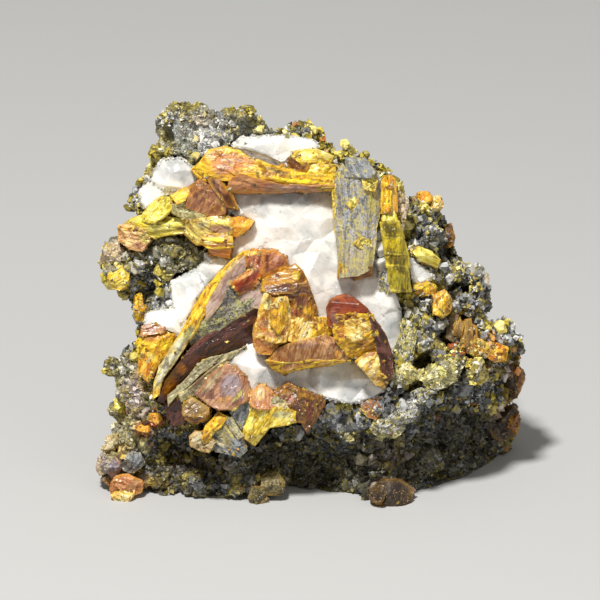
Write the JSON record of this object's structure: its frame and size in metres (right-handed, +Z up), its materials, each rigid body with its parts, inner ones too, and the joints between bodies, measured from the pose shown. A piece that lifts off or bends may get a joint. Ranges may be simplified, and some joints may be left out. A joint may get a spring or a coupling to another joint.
{
  "type": "orpiment specimen",
  "caption": "Hand-sized mineral specimen: grey ore rock with a white calcite vein and blades of amber and gold orpiment, standing on a flat underside.",
  "frame": {"origin": "on the flat underside, under the middle of the block", "axes": "+X across the display face, to its right; +Y from the display face to the back; +Z up"},
  "size_m": [0.0699, 0.0444, 0.0585],
  "materials": {
    "ore_rock": "granular ore, grey metallic grains with olive-yellow crusts",
    "calcite_white": "white cleaved calcite, translucent at the edges",
    "orpiment_red": "resinous red-orange, partly altered to realgar",
    "orpiment_amber": "resinous amber to golden cleavage faces",
    "orpiment_salmon": "pinkish amber, striated",
    "orpiment_brown": "dark maroon-brown with golden edges",
    "orpiment_grey": "grey-lilac striated prism with yellow dust",
    "orpiment_yellow": "pearly golden yellow, foliated",
    "orpiment_mauve": "mauve-brown smooth cleavage",
    "orpiment_orange": "orange-yellow, granular"
  },
  "bodies": {
    "root": {"rock_matrix": "ore_rock", "calcite_vein": "calcite_white", "calcite_top": "calcite_white", "calcite_upper_left": "calcite_white", "calcite_right": "calcite_white", "orange_red_crystal": "orpiment_red", "small_red_crystal": "orpiment_red", "red_capped_crystal": "orpiment_amber", "centre_cluster": "orpiment_amber", "lower_striated_crystal": "orpiment_salmon", "long_top_blade": "orpiment_amber", "brown_wedge": "orpiment_brown", "grey_prism": "orpiment_grey", "yellow_rod": "orpiment_yellow", "green_gold_prism": "orpiment_yellow", "left_banded_crystal": "orpiment_yellow", "left_gold_fan": "orpiment_yellow", "diagonal_blade": "orpiment_brown", "left_gold_crystal": "orpiment_yellow", "mauve_crystal": "orpiment_mauve", "small_brown_block": "orpiment_brown", "boot_crystal": "orpiment_yellow", "lower_brown_crystal": "orpiment_brown", "gold_hook_crystal": "orpiment_yellow", "top_yellow_cluster": "orpiment_yellow", "right_pale_blade": "orpiment_yellow", "right_yellow_crystal": "orpiment_yellow", "right_fibre_crystal": "orpiment_brown", "right_orange_crystal": "orpiment_orange"}
  },
  "joints": []
}
